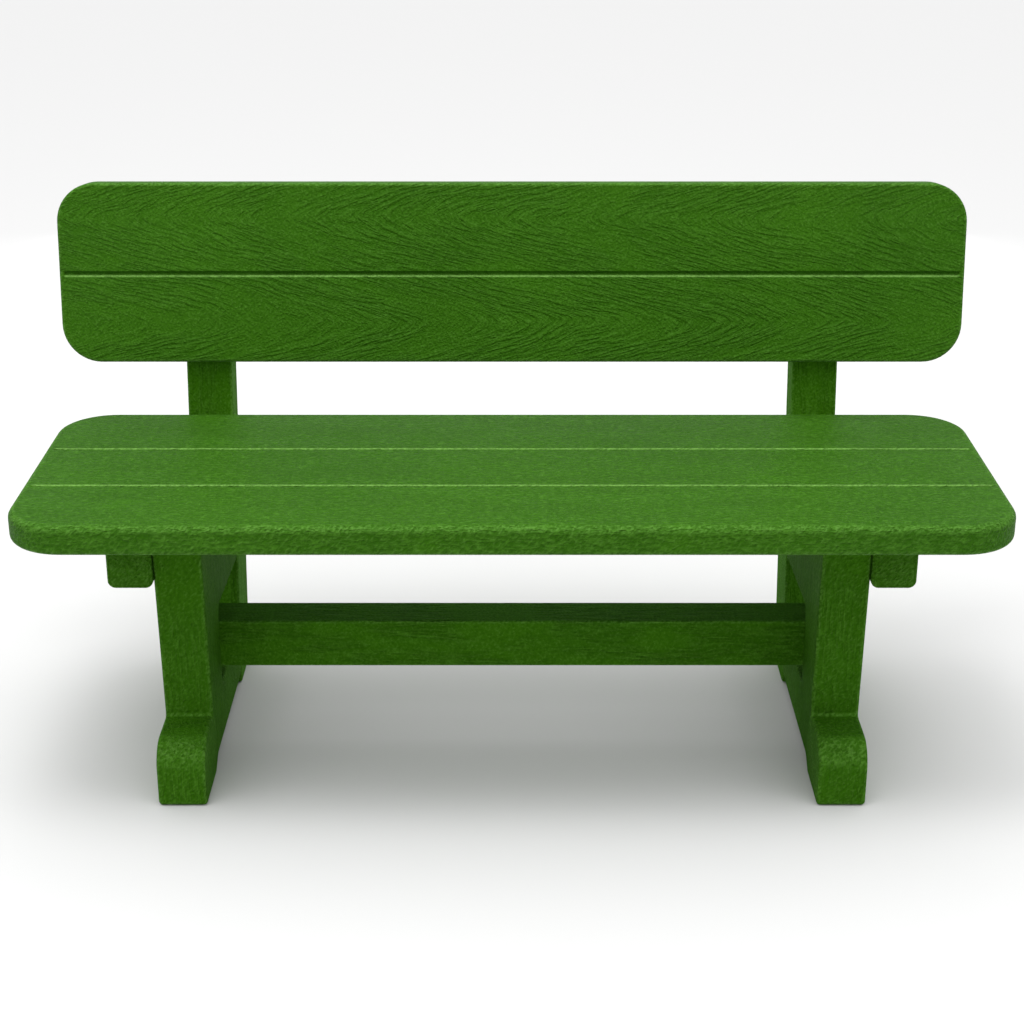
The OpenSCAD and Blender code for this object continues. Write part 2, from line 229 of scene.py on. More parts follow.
# %% Carved bars
def carved_bar(outline, ends, place, recesses=()):
    """Closed surface of an outline carried along a line.

    Point (m, k) of the grid is outline[k] pulled in by ends.pull[m] along its outward direction, at
    ends.level[m]; place turns (a, b, level) into metres. recesses are (m, k, radius, depth, lip) in
    millimetres, each taking the block of cells that starts at (m, k)."""
    points, outs, corner_edge, _ = outline
    level, pull, end_edge = ends
    inset = points[None] - pull[:, None, None] * outs[None]
    lengths = np.broadcast_to(level[:, None], inset.shape[:2])
    grid = place(inset[..., 0], inset[..., 1], lengths)
    index = np.arange(grid[..., 0].size).reshape(lengths.shape)
    ahead = np.roll(index, -1, 1)
    cells = np.stack([index[:-1], ahead[:-1], ahead[1:], index[1:]], -1)
    keep = np.ones(cells.shape[:2], bool)
    vertices = [grid.reshape(-1, 3)]
    edge = [np.maximum(np.broadcast_to(corner_edge, index.shape), end_edge[:, None]).ravel()]
    quads, others, count = [], [index[-1].tolist(), index[0, ::-1].tolist()], index.size
    step = np.arange(BLOCK)
    for m, k, radius, depth, lip in recesses:
        keep[m:m + BLOCK, k:k + BLOCK] = False
        rim = np.concatenate([index[m, k + step], index[m + step, k + BLOCK],
                              index[m + BLOCK, k + BLOCK - step], index[m + BLOCK - step, k]])
        flat = grid.reshape(-1, 3)
        corners = flat[index[[m, m + BLOCK], [k, k + BLOCK]]]
        here = place(points[k, 0], points[k, 1], level[m])
        inward = here - place(points[k, 0] + outs[k, 0], points[k, 1] + outs[k, 1], level[m])
        inward /= np.linalg.norm(inward)
        made, rings = recess_rings(flat[rim], corners.mean(0), inward, radius * MM, depth * MM, lip * MM)
        loops = np.concatenate([rim[None], count + np.arange(rings * rim.size).reshape(rings, -1)])
        turned = np.roll(loops, -1, 1)
        quads.append(np.stack([loops[:-1], turned[:-1], turned[1:], loops[1:]], -1).reshape(-1, 4))
        last = np.full(rim.size, count + rings * rim.size)
        others += np.stack([loops[-1], turned[-1], last], -1).tolist()
        # Recess lips take the edge weight too: glint relief and a painted highlight.
        lip_edge = np.zeros((rings, rim.size))
        lip_edge[1:3] = 0.7
        vertices.append(made)
        edge.append(np.append(lip_edge.ravel(), 0))
        count += len(made)
    faces = np.concatenate([cells[keep].reshape(-1, 4), *quads]).tolist() + others
    edge = np.concatenate(edge)
    return np.concatenate(vertices), faces, edge, np.zeros(len(edge))


def as_drawn(a, b, level):
    """Place that leaves a point as it is."""
    return np.stack(np.broadcast_arrays(a, b, level), -1)


print("a plain square bar has", len(carved_bar(test_square, eased_ends(0, 90, 1), as_drawn)[0]), "points")

# %% [markdown]
# ## From arrays to an object
# One helper puts the arrays into a mesh, turns its faces outwards, keeps the edge weights and the light
# marks as attributes for the material, and hands the piece to the frame. Weighted normals keep the big
# flats flat while the narrow eased edges stay smooth, which is what makes moulded plastic read as solid.


# %% Make a piece
def make_piece(name, surface, node):
    """Object with the surface's mesh, standing for the CAD node."""
    vertices, faces, edge, light = surface
    mesh = bpy.data.meshes.new(name)
    mesh.from_pydata(vertices.tolist(), [], faces)
    solid = bmesh.new()
    solid.from_mesh(mesh)
    volume = solid.calc_volume(signed=True)
    if volume < 0:
        bmesh.ops.reverse_faces(solid, faces=solid.faces[:])
        solid.to_mesh(mesh)
    open_edges = sum(not e.is_manifold for e in solid.edges)
    solid.free()
    # The edge weight puts glint relief and a painted highlight on rolled edges; the line light mark places
    # painted highlight and painted shade on the lines.
    for title, values in (("edge_relief_and_highlight", edge), ("line_light", light)):
        mesh.attributes.new(title, "FLOAT", "POINT").data.foreach_set("value", values.astype(np.float32))
    mesh.shade_smooth()
    piece = bpy.data.objects.new(name, mesh)
    bpy.context.scene.collection.objects.link(piece)
    weigh = piece.modifiers.new("flat_faces_first", "WEIGHTED_NORMAL")
    weigh.weight = 80
    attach(piece, "root")
    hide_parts(node)
    print(f"{name}: {len(vertices)} points, {abs(volume) * 1e6:.0f} ml, open edges {open_edges}")
    return piece


# %% [markdown]
# ## The slabs
# Seat and back are single mouldings with wide soft corners, rolled edges and shallow lines that suggest
# separate planks. A bevelled box could do for the outline, but its corners would pinch the grain and the
# lines would need cutting. This surface is a grid: rows follow the corner arcs, columns stretch to each
# row's length, and the lines are dips in the height of the grid.


# %% Slab surface
CORNER_ROWS, LINE_ROWS = 13, 25
PLAIN_STEP = 9.0  # between rows where the face is plain
LONG_PART = 0.965  # share of the half length with evenly spaced columns; the rest has closer ones


def slab_surface(length, width, thick, corner, top_r, under_r, lines, place):
    """Closed surface of a slab with rounded corners, rolled edges and sunken lines.

    Row j has a centre (cx, cy) and an outward direction (nx, ny): at the corners these turn by angle q as
    (sin q, -cos q) about the corner's centre, and between them they are (1, 0). Pulled in by d, the row
    ends at centre + (corner - d) * direction. Column i lies at u[i] times the row's half length. The rim
    takes the two end points and the front and rear rows round the edges: over a quarter turn t it is
    pulled in by r * (1 - sin t), at a height r * (1 - cos t) from the face. A line at y is a dip of depth *
    smooth(1 - |offset| / half width), which ends just inside the slab's ends. Its light mark is 1 on the
    lip that faces the light and -1 on its shaded side and floor."""
    q = np.linspace(0, np.pi / 2, CORNER_ROWS)
    across = [y + w / 2 * np.linspace(-1.5, 1.5, LINE_ROWS) for y, w, *_ in lines]
    plain = np.arange(corner + 6, width - corner - 4, PLAIN_STEP)
    plain = plain[[all(abs(v - y) > w for y, w, *_ in lines) for v in plain]]
    rows = np.sort(np.concatenate([plain, *across]))
    cy = np.concatenate([np.full(CORNER_ROWS, corner), rows, np.full(CORNER_ROWS, width - corner)])
    nx = np.concatenate([np.sin(q), np.ones(len(rows)), np.sin(q[::-1])])
    ny = np.concatenate([-np.cos(q), np.zeros(len(rows)), np.cos(q[::-1])])
    cx = length / 2 - corner
    close = np.linspace(LONG_PART, 1, 15)[1:]
    u = np.concatenate([-close[::-1], np.linspace(-LONG_PART, LONG_PART, 180), close])

    def face(inset):
        half = cx + (corner - inset) * nx
        back = cy + (corner - inset) * ny
        return np.stack([u[None] * half[:, None], np.repeat(back[:, None], u.size, 1)], -1)

    top, under = face(top_r), face(under_r)
    dip, mark = np.zeros((2,) + top.shape[:2])
    for y, w, depth, flat, lip in lines:
        off = (top[..., 1] - y) / (w / 2)
        side = np.clip((1 - np.abs(off)) / (1 - flat), 0, 1)
        end = np.clip((length / 2 - top_r - 1 - np.abs(top[..., 0])) / 3, 0, 1)
        dip += depth * side * side * (3 - 2 * side) * end
        # The light mark places a painted highlight on the lit lip and painted shade on the shaded side and
        # floor.
        mark += end * (np.exp(-((off * lip - 0.85) / 0.40) ** 2) - np.exp(-((off * lip + 0.35) / 0.45) ** 2))
    r, c = top.shape[:2]
    index = np.arange(r * c).reshape(r, c)
    loop = np.concatenate([index[0], index[1:, -1], index[-1, -2::-1], index[-2:0:-1, 0]])
    way = np.concatenate([np.tile([0.0, -1.0], (c, 1)), np.stack([nx, ny], 1)[1:],
                          np.tile([0.0, 1.0], (c - 1, 1)), np.stack([-nx, ny], 1)[-2:0:-1]])
    t = np.linspace(0, np.pi / 2, 9)
    inset = np.concatenate([top_r * (1 - np.sin(t[1:])), under_r * (1 - np.sin(t[:0:-1]))])
    height = np.concatenate([thick - top_r * (1 - np.cos(t[1:])), under_r * (1 - np.cos(t[:0:-1]))])
    rim = top.reshape(-1, 2)[loop] + (top_r - inset)[:, None, None] * way
    rim = np.concatenate([rim, np.broadcast_to(height[:, None, None], rim.shape[:2] + (1,))], -1)
    points = np.concatenate([np.concatenate([top, (thick - dip)[..., None]], -1).reshape(-1, 3),
                             rim.reshape(-1, 3),
                             np.concatenate([under, np.zeros((r, c, 1))], -1).reshape(-1, 3)])
    rings = np.concatenate([loop[None], r * c + np.arange(rim[..., 0].size).reshape(len(rim), -1),
                            (r * c + rim[..., 0].size + loop)[None]])
    cells = np.stack([index[:-1, :-1], index[:-1, 1:], index[1:, 1:], index[1:, :-1]], -1).reshape(-1, 4)
    ahead = np.roll(rings, -1, 1)
    walls = np.stack([rings[:-1], rings[1:], ahead[1:], ahead[:-1]], -1).reshape(-1, 4)
    faces = np.concatenate([cells, walls, cells[:, ::-1] + r * c + rim[..., 0].size])
    edge, light = np.zeros((2, len(points)))
    light[:r * c] = mark.ravel()
    roll = np.concatenate([np.sin(2 * t[1:]), np.sin(2 * t[:0:-1])])
    edge[r * c:r * c + rim[..., 0].size] = np.repeat(roll, rim.shape[1])
    return place(points[:, 0], points[:, 1], points[:, 2]), faces.tolist(), edge, light


test_slab = slab_surface(300, 200, 38, 50, 8, 8, [(100, 7, 2, 0.0, 1)], as_drawn)
print("a small slab with one line has", len(test_slab[1]), "faces")

# %% [markdown]
# ### Seat
# The seat carries two thin V lines. Its upper edge is rolled by ten millimetres, where legs bend over
# it, and its lower edge by eight.


# %% Seat
def lay_flat(x, y, z):
    """Seat coordinates to metres: x along, y back from the front edge, z up from the underside."""
    return np.stack([x, FRONT + y, SEAT_UNDER + z], -1) * MM


SEAT_CORNER, SEAT_ROLL, SEAT_UNDER_ROLL = 72, 10, 8
seat_lines = [(y, 7, 2.2, 0.0, 1) for y in (137, SEAT_DEPTH - 148)]
seat = make_piece("seat", slab_surface(
    (seat_high.x - seat_low.x) / MM, SEAT_DEPTH, SEAT_TOP - SEAT_UNDER, SEAT_CORNER, SEAT_ROLL,
    SEAT_UNDER_ROLL, seat_lines, lay_flat), "seat_slab")

# %% [markdown]
# ### Back
# The back is the same kind of slab, stood on the slope with its face to the front. Its one line is wider
# and flat at the bottom.


# %% Back
def stand_on_slope(x, y, z):
    """Back coordinates to metres: y runs up the slope and z forwards, square to it."""
    low_y, low_z = slope_point(BACK_S, 0)
    return np.stack([x, FRONT + low_y + y * math.sin(LEAN) - z * math.cos(LEAN),
                     low_z + y * math.cos(LEAN) + z * math.sin(LEAN)], -1) * MM


back_low, back_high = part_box("back_slab")
BACK_CORNER, BACK_ROLL = 52, 5
back_line = (BACK_W / 2, 7.5, 3, 0.45, -1)
back = make_piece("back", slab_surface(
    (back_high.x - back_low.x) / MM, BACK_W, BACK_T, BACK_CORNER, BACK_ROLL, BACK_ROLL, [back_line],
    stand_on_slope), "back_slab")

# %% [markdown]
# ## Side frames
# Each frame is a trestle leg with its toe, a leaning post that meets the back of it, and a rail screwed
# to its outside. All three are bars: the leg and the post are outlines in side view carried across their
# thickness, and the rail is a cross section carried from front to back.


# %% Legs
def side_view(side):
    """Place for outlines drawn in side view: y and z from the outline, x along the sweep."""
    return lambda a, b, level: np.stack(np.broadcast_arrays(side * level, FRONT + a, b), -1) * MM


WAIST_Y, FOOT_H, TOE_Y, ARCH_H = 222, 85, 42, 15
ARM_FRONT, ARM_REAR = SEAT_UNDER - 165, SEAT_UNDER - 176  # heights of the arm's lower edge
leg_outline = rounded_outline([
    (TOE_Y, 0, 7), (130, 0, 9), (152.5, ARCH_H, 9), (post_front(ARCH_H), ARCH_H, 6),
    (post_front(FOOT_H), FOOT_H, 6), (WAIST_Y, FOOT_H, 14), (WAIST_Y, ARM_FRONT, 14),
    (post_front(ARM_REAR), ARM_REAR, 6), (post_front(SEAT_UNDER), SEAT_UNDER, 6), (108, SEAT_UNDER, 6),
    (129, FOOT_H, 4), (TOE_Y, FOOT_H, 35)], steps=10)
leg_ends = eased_ends(LEG_IN, LEG_OUT, 5)
SIDES = ((-1, "left"), (1, "right"))
legs = [make_piece(f"{name}_trestle", carved_bar(leg_outline, leg_ends, side_view(side)), f"{name}_leg")
        for side, name in SIDES]

# %% [markdown]
# ### Posts
# The post is deep under the seat and thin behind the back, with a long shoulder between. Three lag screws
# pull it onto the leg and four smaller ones hold the back, each with its head in a round recess. The
# recesses of the two lowest go in deeper, because the post is thicker there.

# %% Posts
LAG_RECESS, SCREW_RECESS, DEEP, SHALLOW = 13.5, 11.4, 48, 10
FIRST = END_STEPS + 1  # rows of an eased end, before the first stop
NEXT = BLOCK + 1  # stops in one block
POST_DEEP, POST_THIN, SHOULDER_LOW, SHOULDER_HIGH = 89, 51, 262, 308
POST_LAG_HALF, BACK_SCREW_HALF = 15, 13  # half widths of the squares round the posts' recesses
post_lag_s = np.array([FOOT_H - 35, ARM_REAR + 38, SEAT_UNDER - 17]) / math.cos(LEAN)
back_screw_s = BACK_S + BACK_W * np.array([0.15, 0.36, 0.6, 0.8])
HEEL_S = POST_DEEP * math.tan(LEAN)
post_corners = [(*slope_point(s, n), r) for s, n, r in (
    (0, 0, 6), (HEEL_S, POST_DEEP, 6), (SHOULDER_LOW, POST_DEEP, 45), (SHOULDER_HIGH, POST_THIN, 45),
    (POST_L, POST_THIN, 8), (POST_L, 0, 8))]
deep_stops = [block(s - HEEL_S, POST_LAG_HALF) for s in post_lag_s[:2]]
thin_stops = [block(post_lag_s[2] - SHOULDER_HIGH, POST_LAG_HALF),
              *[block(s - SHOULDER_HIGH, BACK_SCREW_HALF) for s in back_screw_s]]
post_outline = rounded_outline(post_corners, {1: np.concatenate(deep_stops), 3: np.concatenate(thin_stops)},
                               steps=10)
post_ends = eased_ends(LEG_IN, LEG_OUT, 4, block(LEG_MID, POST_LAG_HALF))
low, high = post_outline[3][1], post_outline[3][3]
post_recesses = [(FIRST, low, LAG_RECESS, DEEP, 1), (FIRST, low + NEXT, LAG_RECESS, DEEP, 1),
                 (FIRST, high, LAG_RECESS, SHALLOW, 1),
                 *[(FIRST, high + NEXT * k, SCREW_RECESS, SHALLOW, 1) for k in (1, 2, 3, 4)]]
posts = [make_piece(f"{name}_post", carved_bar(post_outline, post_ends, side_view(side), post_recesses),
                    f"{name}_back_post") for side, name in SIDES]

# %% [markdown]
# ### Rails
# The rails lie under the ends of the seat against the outside of the legs. Lag screws go in from their
# outer faces and slab screws come up through them into the seat, so both faces carry recesses.


# %% Rails
def front_view(side):
    """Place for cross sections drawn from the front: x and z from the outline, y along the sweep."""
    return lambda a, b, level: np.stack(np.broadcast_arrays(side * a, FRONT + level, b), -1) * MM


RAIL_IN, RAIL_OUT, RAIL_LOW = rail_low.x / MM, rail_high.x / MM, rail_low.z / MM
RAIL_FRONT, RAIL_BACK = rail_low.y / MM - FRONT, rail_high.y / MM - FRONT
seat_screw_y = np.linspace(RAIL_FRONT + 37, SEAT_DEPTH - 34, 3)
rail_mid_z = (RAIL_LOW + SEAT_UNDER) / 2
rail_lag_y = np.array([*(seat_screw_y[:-1] + seat_screw_y[1:]) / 2, post_front(rail_mid_z) + POST_THIN / 2])
SCREW_HALF, LAG_HALF = 12.8, 14.8  # half widths of the squares round the rails' recesses
rail_outline = rounded_outline(
    [(RAIL_IN, RAIL_LOW, 10), (RAIL_OUT, RAIL_LOW, 10), (RAIL_OUT, SEAT_UNDER, 3), (RAIL_IN, SEAT_UNDER, 3)],
    {0: block((RAIL_OUT - RAIL_IN) / 2, SCREW_HALF), 1: block(rail_mid_z - RAIL_LOW, LAG_HALF)})
places = sorted([(y, SCREW_HALF, 0, SCREW_RECESS, DEEP) for y in seat_screw_y]
                + [(y, LAG_HALF, 1, LAG_RECESS, SHALLOW) for y in rail_lag_y])
rail_ends = eased_ends(RAIL_FRONT, RAIL_BACK, 4, np.concatenate([block(y, half) for y, half, *_ in places]))
rail_recesses = [(FIRST + NEXT * i, rail_outline[3][face], radius, depth, 0.8)
                 for i, (_, _, face, radius, depth) in enumerate(places)]
rails = [make_piece(f"{name}_rail", carved_bar(rail_outline, rail_ends, front_view(side), rail_recesses),
                    f"{name}_seat_rail") for side, name in SIDES]

# %% [markdown]
# ### Stretcher
# One heavy bar lies behind the waists of the legs and stops the frames from racking. Two lag screws, one
# above the other, hold it at each end, with their heads sunk into its rear face.

# %% Stretcher
BAR_FRONT, BAR_BACK = bar_low.y / MM - FRONT, bar_high.y / MM - FRONT
BAR_LOW, BAR_HIGH = bar_low.z / MM, bar_high.z / MM
BAR_HALF = 14.2  # half width of the squares round its recesses
bar_lag_z = (BAR_HIGH - BAR_LOW) * np.array([0.265, 0.735])
bar_outline = rounded_outline(
    [(BAR_FRONT, BAR_LOW, 4), (BAR_BACK, BAR_LOW, 3.2), (BAR_BACK, BAR_HIGH, 3.2), (BAR_FRONT, BAR_HIGH, 4)],
    {1: np.concatenate([block(z, BAR_HALF) for z in bar_lag_z])})
bar_ends = eased_ends(bar_low.x / MM, bar_high.x / MM, 3,
                      np.concatenate([block(side * LEG_MID, BAR_HALF) for side, _ in SIDES]))
bar_recesses = [(FIRST + NEXT * end, bar_outline[3][1] + NEXT * k, LAG_RECESS, SHALLOW, 0.5)
                for end in (0, 1) for k in (0, 1)]
stretcher = make_piece("stretcher_bar", carved_bar(bar_outline, bar_ends, side_view(1), bar_recesses),
                       "stretcher")

# %% [markdown]
# ## Green moulded plastic
# The real stuff is recycled plastic coloured right through, pressed in moulds that carry a wood grain.
# Its surface has short embossed strokes that run along each board and a fine pebble between them, with
# painted shade in their hollows and painted highlight on their ridges, and a painted highlight broken into
# glints on the rolled edges. A picture of wood would repeat and smear; noise that is stretched along the
# grain never does, and it follows the board because it reads the board's own directions.


# %% Node helpers
def add(tree, kind, *inputs, output=0, **settings):
    """Adds a shader node, links or fills its inputs in order, and gives back one of its outputs."""
    made = tree.nodes.new(kind)
    for name, value in settings.items():
        setattr(made, name, value)
    for socket, value in zip(made.inputs, inputs):
        if isinstance(value, bpy.types.NodeSocket):
            tree.links.new(value, socket)
        elif value is not None:
            socket.default_value = value
    return made.outputs[output] if made.outputs else made


def maths(tree, operation, *values):
    """One arithmetic step."""
    return add(tree, "ShaderNodeMath", *values, operation=operation)


def noise(tree, where, scale=1.0, detail=2.0, roughness=0.5):
    """Cloudy noise from 0 to 1 with the given number of features per metre."""
    made = tree.nodes.new("ShaderNodeTexNoise")
    tree.links.new(where, made.inputs["Vector"])
    for name, value in (("Scale", scale), ("Detail", detail), ("Roughness", roughness)):
        made.inputs[name].default_value = value
    return made.outputs[0]


def stretched(tree, distances, per_metre):
    """Vector whose parts are three distances, each times its own number of features per metre."""
    return add(tree, "ShaderNodeCombineXYZ",
               *[maths(tree, "MULTIPLY", distance, count) for distance, count in zip(distances, per_metre)])


def ramp(tree, value, low, high, to_low=0.0, to_high=1.0):
    """Smooth step that carries value from low..high to to_low..to_high."""
    return add(tree, "ShaderNodeMapRange", value, low, high, to_low, to_high, interpolation_type="SMOOTHSTEP")


def along_axis(tree, where, axis, start=0.0):
    """Distance of a point along a direction, measured from start, in metres."""
    reach = add(tree, "ShaderNodeVectorMath", where, tuple(axis), operation="DOT_PRODUCT", output=1)
    return maths(tree, "SUBTRACT", reach, start)


def bump(tree, height, strength=1.0):
    """Shading normal of a height given in metres."""
    made = tree.nodes.new("ShaderNodeBump")
    made.inputs["Strength"].default_value = strength
    made.inputs["Distance"].default_value = 1.0
    tree.links.new(height, made.inputs["Height"])
    return made.outputs[0]


def mix(tree, share, one, other):
    """Colour between one and other."""
    made = tree.nodes.new("ShaderNodeMix")
    made.data_type = "RGBA"
    for socket, value in zip((made.inputs[0], made.inputs[6], made.inputs[7]), (share, one, other)):
        if isinstance(value, bpy.types.NodeSocket):
            tree.links.new(value, socket)
        else:
            socket.default_value = value
    return made.outputs[2]


# %% [markdown]
# ### Grain that bends
# `flow` is the height of a point across the grain after the grain has been bent. Strokes follow the lines
# on which it stays the same. On the back the strokes meet in arrowheads, as they do in a board sawn
# through the heart of a log: the distance from the plank's heart line, plus or minus a share of the
# distance along it, stays the same along an arrowhead.

# %% The green plastic
# The deep colour serves both the random cloudy tone and painted shade; the pale colour serves painted
# highlights.
GREEN = (0.030, 0.110, 0.0022)
GREEN_DEEP = (0.015, 0.066, 0.0008)
GREEN_PALE = (0.092, 0.225, 0.034)
# The last colour is a painted highlight for the lit lips of the lines.
GREEN_LIP_HIGHLIGHT = (0.126, 0.266, 0.054)
SLOPE_UP = (0, math.sin(LEAN), math.cos(LEAN))
SLOPE_BACK = (0, math.cos(LEAN), -math.sin(LEAN))
CLIMB, SQUARE_TO_CLIMB = (0.7071, 0, 0.7071), (-0.7071, 0, 0.7071)
SWAY = 0.030  # how far the grain wanders sideways, in metres
THROUGH_STROKES, PEBBLES, GLINTS = 260, 330, (140, 310, 310)  # per metre
EDGE_RELIEF = 1.9  # height of the glints on rolled edges, in millimetres
ARROW_TIP = 0.012  # how round the tips of the arrowheads are, in metres


def arrowheads(tree, u, v, hearts, split, slant):
    """Bent height for two planks: sqrt((v - heart)^2 + tip^2) + sign * slant * u, where the lower plank's
    arrows point one way and the upper plank's the other."""
    upper = maths(tree, "GREATER_THAN", v, split)
    heart = maths(tree, "MULTIPLY_ADD", upper, hearts[1] - hearts[0], hearts[0])
    off = maths(tree, "SUBTRACT", v, heart)
    bent = maths(tree, "SQRT", maths(tree, "MULTIPLY_ADD", off, off, ARROW_TIP ** 2))
    sign = maths(tree, "MULTIPLY_ADD", upper, -2.0, 1.0)
    return maths(tree, "MULTIPLY_ADD", maths(tree, "MULTIPLY", sign, slant), u, bent)


def green_plastic(name, along, across, through, stroke, emboss, pebble, start=0.0, cover=(0.34, 0.56),
                  gloss=0.03, dull=0.70, slanted=0.0, stroke_shade=0.2, painted_light_gain=1.0, flow=None):
    """Material with strokes of stroke = (length, width) in millimetres that run along the first direction.

    emboss and pebble are the heights of the strokes and of the pebble, and cover the step of the noise
    that decides where strokes show. slanted is how strongly the pebble is drawn out into short strokes that
    climb from left to right, gloss the specular level, dull the lowest roughness, and stroke_shade how far
    painted shade darkens the hollows and painted highlight pales the ridges. painted_light_gain is how much
    lighter this board's colours are painted, a lighter copy of the same plastic that stands in for light
    the lamps don't bring to it, and flow bends the grain."""
    # Each board's colours are painted lighter by its gain, to stand in for light the lamps don't bring to it.
    plain, deep, pale, lip = [(*(painted_light_gain * part for part in tone), 1) for tone in
                              (GREEN, GREEN_DEEP, GREEN_PALE, GREEN_LIP_HIGHLIGHT)]
    material = bpy.data.materials.new(name)
    material.use_nodes = True
    tree = material.node_tree
    tree.nodes.clear()
    where = add(tree, "ShaderNodeTexCoord", output=3)
    u = along_axis(tree, where, along)
    v = along_axis(tree, where, across, start)
    w = along_axis(tree, where, through)
    bent = flow(tree, u, v) if flow else v
    sway = noise(tree, stretched(tree, (u, v, w), (5, 14, 9)))
    bent = maths(tree, "MULTIPLY_ADD", sway, SWAY, bent)
    fibre = stretched(tree, (u, bent, w), (1000 / stroke[0], 1000 / stroke[1], THROUGH_STROKES))
    strokes = ramp(tree, noise(tree, fibre, detail=2.5, roughness=0.55), 0.36, 0.66)
    patch = noise(tree, stretched(tree, (u, bent, w), (9, 30, 9)))
    shown = ramp(tree, patch, cover[0], cover[1], 0.15, 1.0)
    slant = [along_axis(tree, where, axis) for axis in (CLIMB, SQUARE_TO_CLIMB, (0, 1, 0))]
    drawn_out = PEBBLES / (1 + 1.2 * slanted)
    grains = noise(tree, stretched(tree, slant, (drawn_out, PEBBLES, PEBBLES)), detail=1.5, roughness=0.6)
    glints = noise(tree, stretched(tree, slant, GLINTS), detail=1.0)
    highlit_edge = add(tree, "ShaderNodeAttribute", attribute_name="edge_relief_and_highlight", output=2)
    light = add(tree, "ShaderNodeAttribute", attribute_name="line_light", output=2)
    height = maths(tree, "MULTIPLY", maths(tree, "MULTIPLY", strokes, shown), emboss * MM)
    height = maths(tree, "MULTIPLY_ADD", grains, pebble * MM, height)
    height = maths(tree, "MULTIPLY_ADD", maths(tree, "MULTIPLY", highlit_edge, glints), EDGE_RELIEF * MM, height)
    normal = bump(tree, height)

    cloud = noise(tree, where, 3.5, 3.0, 0.55)
    colour = mix(tree, ramp(tree, cloud, 0.3, 0.75, 0.0, 0.35), plain, deep)
    # Painted shade darkens the hollows of the strokes and painted highlight pales their ridges.
    hollow = maths(tree, "MULTIPLY", maths(tree, "SUBTRACT", 1.0, strokes), shown)
    ridge = maths(tree, "MULTIPLY", strokes, shown)
    colour = mix(tree, maths(tree, "MULTIPLY", hollow, stroke_shade), colour, deep)
    colour = mix(tree, maths(tree, "MULTIPLY", ridge, 0.3 * stroke_shade), colour, pale)
    # Painted shade darkens the pits of the pebble and painted highlight pales its bumps.
    colour = mix(tree, ramp(tree, grains, 0.52, 0.28, 0.0, 0.50), colour, deep)
    colour = mix(tree, ramp(tree, grains, 0.48, 0.80, 0.0, 0.30), colour, pale)
    # Lines: painted shade on their shaded side and floor, and a painted highlight on the lip that faces the
    # light.
    colour = mix(tree, ramp(tree, light, 0.0, -1.0, 0.0, 0.8), colour, deep)
    lit = maths(tree, "MULTIPLY", ramp(tree, light, 0.0, 1.0), ramp(tree, glints, 0.3, 0.6, 0.55, 1.0))
    colour = mix(tree, lit, colour, lip)
    # Rolled edges and recess lips get a painted highlight, broken into glints.
    edge_highlight = maths(tree, "MULTIPLY", maths(tree, "MULTIPLY", highlit_edge, ramp(tree, glints, 0.42, 0.66)), 0.45)
    colour = mix(tree, maths(tree, "MULTIPLY_ADD", highlit_edge, 0.08, edge_highlight), colour, pale)
    smear = maths(tree, "MULTIPLY_ADD", noise(tree, where, 22.0, 3.0), 0.14, dull)
    roughness = maths(tree, "MULTIPLY_ADD", grains, 0.10, smear)

    shader = tree.nodes.new("ShaderNodeBsdfPrincipled")
    shader.inputs["IOR"].default_value = 1.49
    shader.inputs["Specular IOR Level"].default_value = gloss
    tree.links.new(colour, shader.inputs["Base Color"])
    tree.links.new(roughness, shader.inputs["Roughness"])
    tree.links.new(normal, shader.inputs["Normal"])
    add(tree, "ShaderNodeOutputMaterial", shader.outputs[0])
    print(name, len(tree.nodes), "nodes")
    return material


# %% [markdown]
# ### One finish for each way the grain runs
# The strokes run along the length of every board, so each kind of board gets the same plastic with its
# own directions: along X for seat, back and stretcher, up the post, down the leg and along the rail. Each
# kind also gets its own painted brightness: a lighter copy of the same plastic stands in for light that
# the lamps don't bring to it.

# %% Finishes for the boards
X, Y, Z = (1, 0, 0), (0, 1, 0), (0, 0, 1)
HEARTS, ARROW_SLANT = (0.054, 0.195), 0.27  # heart lines of the two planks, in metres up the back
start_y, start_z = slope_point(BACK_S, 0)
back_start = (SLOPE_UP[1] * (FRONT + start_y) + SLOPE_UP[2] * start_z) * MM
seat_finish = green_plastic("green_seat", X, Y, Z, stroke=(11, 3.2), emboss=1.6, pebble=2.8, gloss=0.05,
                            cover=(0.15, 0.40), dull=0.42, slanted=1.0, stroke_shade=0.50, painted_light_gain=1.12)
back_finish = green_plastic(
    "green_back", X, SLOPE_UP, SLOPE_BACK, stroke=(28, 3.6), emboss=1.8, pebble=2.0, start=back_start,
    gloss=0.06, dull=0.50, painted_light_gain=1.08,
    flow=lambda tree, u, v: arrowheads(tree, u, v, HEARTS, BACK_W / 2 * MM, ARROW_SLANT))
leg_finish = green_plastic("green_leg", Z, Y, X, stroke=(30, 4.0), emboss=1.8, pebble=2.5, slanted=0.6,
                           stroke_shade=0.35, painted_light_gain=1.08)
post_finish = green_plastic("green_post", SLOPE_UP, X, SLOPE_BACK, stroke=(34, 4.0), emboss=1.5,
                            pebble=2.2, stroke_shade=0.3, painted_light_gain=1.5)
rail_finish = green_plastic("green_rail", Y, Z, X, stroke=(30, 4.0), emboss=1.3, pebble=2.2, slanted=0.4)
bar_finish = green_plastic("green_stretcher", X, Z, Y, stroke=(34, 4.0), emboss=2.0, pebble=1.6, stroke_shade=0.4,
                           painted_light_gain=1.22)
for piece, finish in [(seat, seat_finish), (back, back_finish), (stretcher, bar_finish),
                      *[(leg, leg_finish) for leg in legs], *[(post, post_finish) for post in posts],
                      *[(rail, rail_finish) for rail in rails]]:
    piece.data.materials.append(finish)

